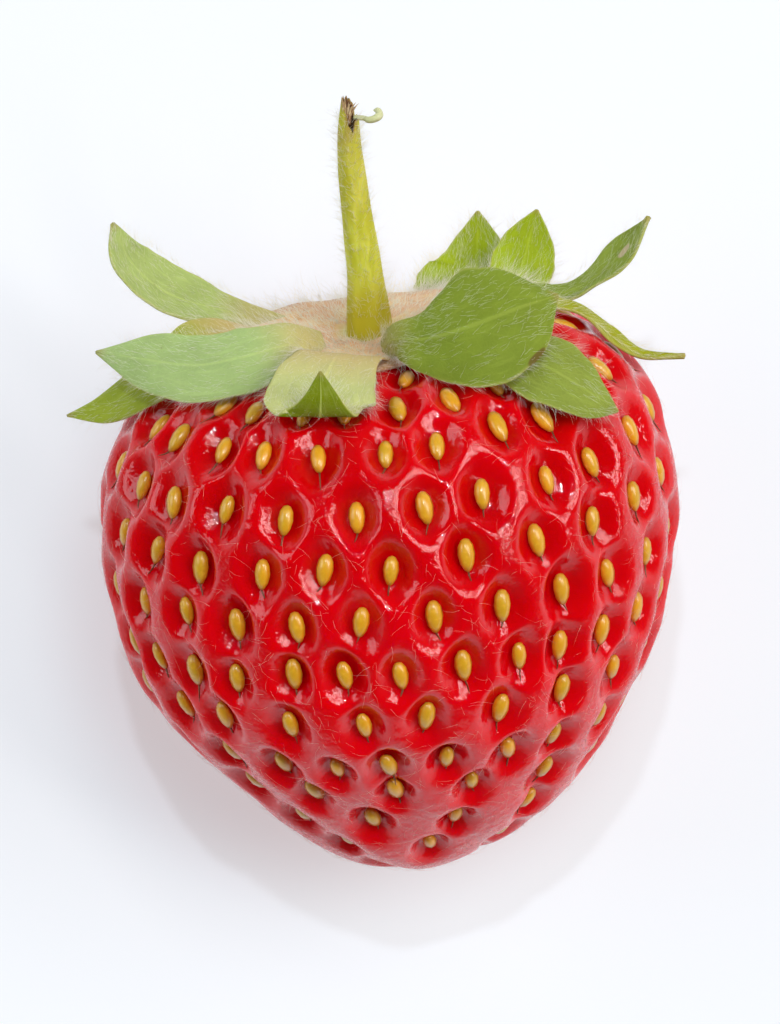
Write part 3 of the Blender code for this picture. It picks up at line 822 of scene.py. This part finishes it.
# %% The stalk mesh, with its torn top
STALK_RIBS = 0.025                                                  # share of the radius
stalk_turn = np.linspace(0, 2 * np.pi, 56, endpoint=False)
tear = 0.5 + 0.5 * np.tanh(3.0 * np.cos(stalk_turn - 0.5))          # 1 where the wall is torn away
stalk_top = 1.0 - 0.115 * tear - 0.02 * np.sin(5 * stalk_turn) ** 2 - 0.012 * np.sin(13 * stalk_turn)
stalk_top -= 0.07 * np.exp(-((stalk_turn - 1.25) / 0.22) ** 2)      # a slot in front
stalk_u = np.linspace(0.0, 1.0, 110)[:, None] * stalk_top[None]
stalk_grid = tube(STALK_PATH, STALK_RADII, stalk_u, stalk_turn[None], STALK_RIBS)
middle = curve(STALK_PATH, stalk_u)
stalk_grid += 0.14 * np.exp(-stalk_u * 14)[..., None] * (stalk_grid - middle)
foot_axis = unit(curve(STALK_PATH, np.array([0.1]))[0] - np.array(STALK_PATH[0]))
stalk_grid -= 1.5 * np.exp(-stalk_u * 22)[..., None] * foot_axis
hollow_rows = []
for inset, sink in ((0.72, 0.0), (0.60, 0.04), (0.50, 0.09), (0.30, 0.13)):
    lower = np.maximum(stalk_top - sink, 0.74)
    lower = lower + (1 - inset) * 0.6 * (lower.min() - lower)
    rim_points = tube(STALK_PATH, STALK_RADII, lower, stalk_turn)
    axis_points = curve(STALK_PATH, lower)
    hollow_rows.append(axis_points + inset * (rim_points - axis_points))
stalk_grid = np.concatenate([stalk_grid, np.stack(hollow_rows)])
stalk_u = np.concatenate([stalk_u, np.full((4, stalk_u.shape[1]), 1.2)])
stalk = closed_grid("stalk", stalk_grid, stalk_grid[0].mean(0), hollow_rows[-1].mean(0),
                    {"lengthways": stalk_u})

# %% [markdown]
# ## The look of the stalk
# The stalk is a yellow green, streaked lengthways.  The streaks are plain noise read with its Y
# scaled down, which stretches it along the stalk.  It is olive at its foot and brown at the tear.

# %% The finish of the stalk
stem = Finish("stalk_green", Roughness=0.5, Subsurface_Weight=0.1, Subsurface_Scale=0.8 * MM,
              Specular_IOR_Level=0.15)
up_it = stem.attribute("lengthways")
streak = stem.noise(0.5, 4.0, at=stem.node("ShaderNodeMapping", None, {
    "Vector": stem.place(), "Scale": (1.0, 0.12, 1.0)}))
green = stem.mix(streak.between(0.3, 0.7), (0.50, 0.49, 0.025), (0.70, 0.68, 0.09))
green = stem.mix((1 - up_it.between(0.04, 0.30)) * 0.95, green, (0.46, 0.37, 0.015))
green = stem.mix(up_it.between(0.30, 0.60) * 0.30, green, (0.44, 0.34, 0.03))
green = stem.mix(up_it.between(0.62, 0.98) * streak.between(0.42, 0.6), green, (0.30, 0.17, 0.05))
green = stem.mix(up_it.between(0.90, 1.0) * 0.85, green, (0.36, 0.22, 0.09))
green = stem.mix(up_it.between(1.0, 1.15), green, (0.10, 0.05, 0.02))
stem.feed("Base Color", green)
stem.feed("Roughness", 0.42 + 0.25 * streak)
stem.bump(streak + 0.4 * stem.noise(0.2, 2.0), 0.45, 0.08)
dress(stalk, stem.material, "stalk_green", "stem")

# %% [markdown]
# ## Fibres at the tear
# Tough fibres outlast the soft stalk round them.  Short dry ones stand up from the tear, made with
# the hair function, and one pale strand is a thin tube along a curled path.

# %% Torn fibres and the pale strand
fibre_luck = np.random.RandomState(31)
FIBRES = 11
fibre_turn = np.linspace(1.6, 4.6, FIBRES)
end_axis = unit(curve(STALK_PATH, np.array([1.0]))[0] - curve(STALK_PATH, np.array([0.9]))[0])
inner_radii = tuple(0.6 * r for r in STALK_RADII)
fibre_root = tube(STALK_PATH, inner_radii, np.full(FIBRES, 0.86), fibre_turn)
fibre_way = end_axis + 0.10 * fibre_luck.normal(size=(FIBRES, 3)) + (0.14, 0.0, 0.0)
fibres = hairs("torn_fibres", fibre_root, fibre_way, 0.15 * fibre_luck.normal(size=(FIBRES, 3)),
               fibre_luck.uniform(0.9, 1.7, FIBRES), 0.13)
dry = Finish("torn_fibre", Roughness=0.6)
dry.feed("Base Color", dry.mix(dry.noise(0.4, 3.0).between(0.35, 0.65),
                               (0.62, 0.46, 0.24), (0.34, 0.17, 0.06)))
dress(fibres, dry.material, "torn_fibre")

strand_path = ((-1.75, 23.6, 22.4), *STRAND_PATH, (-0.66, 23.98, 22.5))
strand_turn = np.linspace(0, 2 * np.pi, 16, endpoint=False)[None]
strand_grid = tube(strand_path, (0.13, 0.14, 0.17, 0.20, 0.20, 0.17, 0.06),
                   np.linspace(0, 1, 60)[:, None], strand_turn, 0.06)
strand = closed_grid("strand", strand_grid, strand_grid[0].mean(0), strand_grid[-1].mean(0))
pale_fibre = Finish("pale_fibre", Roughness=0.5)
pale_fibre.feed("Base Color", pale_fibre.mix(pale_fibre.noise(0.3, 3.0),
                                             (0.75, 0.74, 0.45), (0.55, 0.56, 0.22)))
dress(strand, pale_fibre.material, "torn_fibre", "stem_strand")

# %% [markdown]
# ## Down and fuzz
# Fine pale hairs stand thick on the disc, lie along the leaves, ring the stalk, and curl over
# the ridges of the flesh.  They catch the light at every outline, and without them the piece
# looks like plastic.  Each kind is one mesh with its own length, direction and thickness.

# %% Hair on the disc
downy = Finish("pale_down", Roughness=0.5, Subsurface_Weight=0.0, Sheen_Weight=0.3)
downy.feed("Base Color", downy.mix(downy.noise(2.0), (0.88, 0.80, 0.60), (0.94, 0.91, 0.82)))

TUFT_TURNS = (5.1, 6.3)                        # where the tuft stands, at the far right
luck = np.random.RandomState(41)
count, tuft = 4200, 1400                       # hairs all over, and in the tuft
t = np.concatenate([luck.uniform(0, 2 * np.pi, count), luck.uniform(*TUFT_TURNS, tuft)])
q = np.concatenate([luck.uniform(0.15, 1.02, count) ** 0.7, luck.uniform(0.75, 1.05, tuft)])
count += tuft
roots = disc_point(q, 1 - 0.55 * q ** 2, t)
outwards = towards(np.full(count, np.pi / 2), t)
ways = (0.9 - 0.3 * q)[:, None] * CORE + (0.3 + 1.2 * q)[:, None] * outwards \
    + 0.40 * luck.normal(size=(count, 3))
disc_hair = hairs("disc_hair", roots, ways, 0.40 * luck.normal(size=(count, 3)),
                  luck.uniform(0.45, 1.15, count) * (0.7 + 1.1 * q ** 4), 0.009)
dress(disc_hair, downy.material, "hairy_disc")

# %% [markdown]
# ## Hair on the leaves and the stalk
# Leaf hairs lie forward, towards the tip, and a third of them stand out from the rim.  Those of
# the stalk stand out all round it.  Both take their roots from the formulas of their pieces.

# %% Hair on the leaves
all_roots, all_ways, all_bends, all_lengths = [], [], [], []
for number, (name, leaf) in enumerate(LEAVES.items()):
    leaf = rooted(leaf)
    count = 1100 if name.startswith("sepal") else 640
    u = np.sort(luck.uniform(0.08, 0.97, count) ** 1.3)
    v = luck.uniform(-1, 1, count)
    edge = luck.uniform(0, 1, count) < 0.35
    v = np.where(edge, np.sign(v) * 0.99, v)
    here, along, side, up, half = leaf_frame(leaf, u)
    hollow = leaf[4]
    spot = here + (v[:, None] * half) * side + hollow * half * (v[:, None] ** 2 - 0.35) * up \
        + 0.5 * BLADE_THICK * up
    all_roots.append(spot)
    all_ways.append(0.9 * along + 0.22 * up + np.where(edge, np.sign(v) * 0.8, 0.0)[:, None] * side
                    + 0.22 * luck.normal(size=(count, 3)))
    all_bends.append(0.30 * luck.normal(size=(count, 3)) - 0.12 * up)
    all_lengths.append(luck.uniform(0.35, 1.0, count))
leaf_hair = hairs("leaf_hair", np.vstack(all_roots), np.vstack(all_ways), np.vstack(all_bends),
                  np.concatenate(all_lengths), 0.0052)
dress(leaf_hair, downy.material, "sepal_green")

# %% Hair on the stalk
count = 1300
u = np.sort(luck.uniform(0.0, 0.9, count))
t = luck.uniform(0, 2 * np.pi, count)
here = curve(STALK_PATH, u)
along = unit(curve(STALK_PATH, u + 0.02) - curve(STALK_PATH, u - 0.02))
side = unit(np.cross(along, (0.0, 0.0, 1.0)))
up = np.cross(side, along)
outwards = np.cos(t)[:, None] * side + np.sin(t)[:, None] * up
roots = here + curve(np.array(STALK_RADII)[:, None], u) * outwards
ways = 0.8 * outwards + 0.7 * along + 0.3 * luck.normal(size=(count, 3))
stalk_hair = hairs("stalk_hair", roots, ways, 0.3 * luck.normal(size=(count, 3)),
                   luck.uniform(0.3, 0.9, count), 0.008)
dress(stalk_hair, downy.material, "stalk_green")

# %% [markdown]
# ## Fuzz on the flesh
# Ripe flesh has sparse hairs that lie nearly flat and curl.  They grow on the ridges only, so the
# places that fall inside a dimple, or too near the table, are dropped.

# %% Fuzz on the flesh
count = 8000
phi = np.arccos(luck.uniform(-0.93, 1.0, count))
way = towards(phi, luck.uniform(0, 2 * np.pi, count))
spot, ring_there = flesh_point(way)
out = skin_normal(way)
ok = (ring_there > 0.95) & (spot[:, 2] > 1.2)
spot, out = spot[ok], out[ok]
sway = unit(np.cross(out, luck.normal(size=out.shape)))
flesh_hair = hairs("flesh_hair", spot, 0.40 * out + sway, 0.60 * np.cross(out, sway)
                   * luck.normal(size=(len(out), 1)) - 0.25 * out,
                   luck.uniform(0.35, 1.3, len(out)), 0.0055)
fine = Finish("fine_fuzz", Roughness=0.5)
fine.feed("Base Color", fine.mix(fine.noise(3.0), (0.86, 0.36, 0.28), (0.92, 0.66, 0.52)))
dress(flesh_hair, fine.material, "ripe_flesh")

# %% [markdown]
# ## The table
# The berry lies on a plain pale sheet of milk glass lit from below, which is how small things
# are shown on a clean white ground.  One big flat square is enough.  Glass that glows evenly would
# leave hardly any shadow, so the glow is a little weaker and warmer in a round patch under the
# berry.

# %% The table
TABLE_SIDE = 3.0                           # m
GLASS_GLOW = 0.625                         # strength of the glow
PATCH_AT = (-2.0, -3.0)                    # mm, middle of the weaker patch
PATCH_FROM, PATCH_TO = 13.0, 19.5          # mm from there, where the patch begins and stops fading


def table_top(side):
    """A flat square of one face at Z = 0, whose middle is the origin."""
    mesh = bpy.data.meshes.new("table_top")
    h = side / 2
    mesh.from_pydata([(-h, -h, 0), (h, -h, 0), (h, h, 0), (-h, h, 0)], [], [(0, 1, 2, 3)])
    made = bpy.data.objects.new("table_top", mesh)
    bpy.context.scene.collection.objects.link(made)
    return made


table = table_top(TABLE_SIDE)
glass = Finish("lit_glass", Roughness=0.9, Specular_IOR_Level=0.1, Emission_Strength=GLASS_GLOW)
glass.feed("Base Color", glass.mix(glass.noise(30.0), (0.375, 0.38, 0.39), (0.385, 0.39, 0.40)))
away = glass.node("ShaderNodeVectorMath", {"operation": "DISTANCE"},
                  {0: glass.place(), 1: (PATCH_AT[0] * MM, PATCH_AT[1] * MM, 0.0)}, "Value")
away = away.between(PATCH_FROM * MM, PATCH_TO * MM)
glass.feed("Emission Color", glass.mix(away, (0.755, 0.715, 0.74), (0.910, 0.945, 0.99)))
table.data.materials.append(glass.material)
print("table", TABLE_SIDE, "m wide")

# %% [markdown]
# ## The lamps
# One large lamp would give each wet ridge a single broad highlight.  Three parallel strips on the
# right break it into the narrow ones that show how uneven the skin is.  A cooler, weaker lamp on
# the left fills the shaded side.  A small hard lamp, a little past the stalk and nearly overhead,
# throws the one crisp shadow below the tip.

# %% The lamps
STRIP_WAY, STRIP_STEP = np.array((0.55, 0.20, 0.81)), np.array((-0.78, 0.28, 0.46))
# name, way from the berry, distance (m), width and height (m), radiance, colour
LAMPS = [("soft_lamp_right_%d" % (number + 1), unit(STRIP_WAY + lift * STRIP_STEP), 0.80,
          (0.58, 0.09), 10.8, (1.0, 0.98, 0.95)) for number, lift in enumerate((-0.30, 0.0, 0.30))]
LAMPS += [("soft_lamp_left", (-0.80, 0.20, 0.55), 0.80, (0.48, 0.40), 3.3, (0.84, 0.95, 1.0)),
          ("small_lamp_behind", (-0.03, 0.34, 0.94), 0.90, (0.03, 0.03), 800.0, (0.74, 0.87, 1.0))]


def lamp(name, way, distance, size, radiance, colour):
    """A rectangular lamp facing the berry; power = radiance * pi * width * height."""
    data = bpy.data.lights.new(name, "AREA")
    data.shape = "RECTANGLE"
    data.size, data.size_y = size
    data.energy = radiance * math.pi * size[0] * size[1]
    data.color = colour
    made = bpy.data.objects.new(name, data)
    way = unit(np.array(way, float))
    made.location = CENTRE * MM + distance * way
    made.rotation_euler = Vector(way).to_track_quat("Z", "Y").to_euler()
    bpy.context.scene.collection.objects.link(made)
    print(name, round(data.energy, 2), "W")
    return made


for row in LAMPS:
    lamp(*row)

# %% [markdown]
# ## The surround
# The world lights the berry from all round.  An even white would wash the red out, so it is bright
# only near the horizon, where it whitens the outlines, and dark overhead.

# %% The surround
SKY_TINT = (0.985, 0.99, 1.0)
SKY_STOPS = ((0.0, 0.95), (0.08, 0.60), (0.20, 0.15), (0.70, 0.03))     # sine of height, brightness

world = bpy.data.worlds.new("surround")
bpy.context.scene.world = world
world.use_nodes = True
sky = world.node_tree
coords = sky.nodes.new("ShaderNodeTexCoord")
split = sky.nodes.new("ShaderNodeSeparateXYZ")
ramp = sky.nodes.new("ShaderNodeValToRGB")
sky.links.new(coords.outputs["Generated"], split.inputs[0])
sky.links.new(split.outputs["Z"], ramp.inputs[0])
sky.links.new(ramp.outputs[0], sky.nodes["Background"].inputs[0])
while len(ramp.color_ramp.elements) < len(SKY_STOPS):
    ramp.color_ramp.elements.new(0.5)
for element, (place, level) in zip(ramp.color_ramp.elements, SKY_STOPS):
    element.position = place
    element.color = (*(level * tint for tint in SKY_TINT), 1.0)
print("surround", SKY_STOPS)

# %% [markdown]
# ## The camera
# The camera looks straight down.  A long lens from 400 mm away keeps the leaves, which stand
# nearer to it, from looking too large beside the berry.

# %% The camera
VIEW_AT = (0.22, 2.11)                     # mm, the point straight under the camera
VIEW_LEVEL, VIEW_AWAY = 15.0, 400.0        # mm: the level it is framed on, and its distance
VIEW_TALL = 56.8                           # mm of that level from the bottom of the view to its top
camera_data = bpy.data.cameras.new("camera")
camera_data.lens = camera_data.sensor_width * VIEW_AWAY / VIEW_TALL
camera_data.clip_start = 0.01
camera = bpy.data.objects.new("camera", camera_data)
camera.location = (VIEW_AT[0] * MM, VIEW_AT[1] * MM, (VIEW_LEVEL + VIEW_AWAY) * MM)
bpy.context.scene.collection.objects.link(camera)
bpy.context.scene.camera = camera
bpy.context.scene.view_settings.view_transform = "Standard"
print("lens", round(camera_data.lens, 1), "mm")
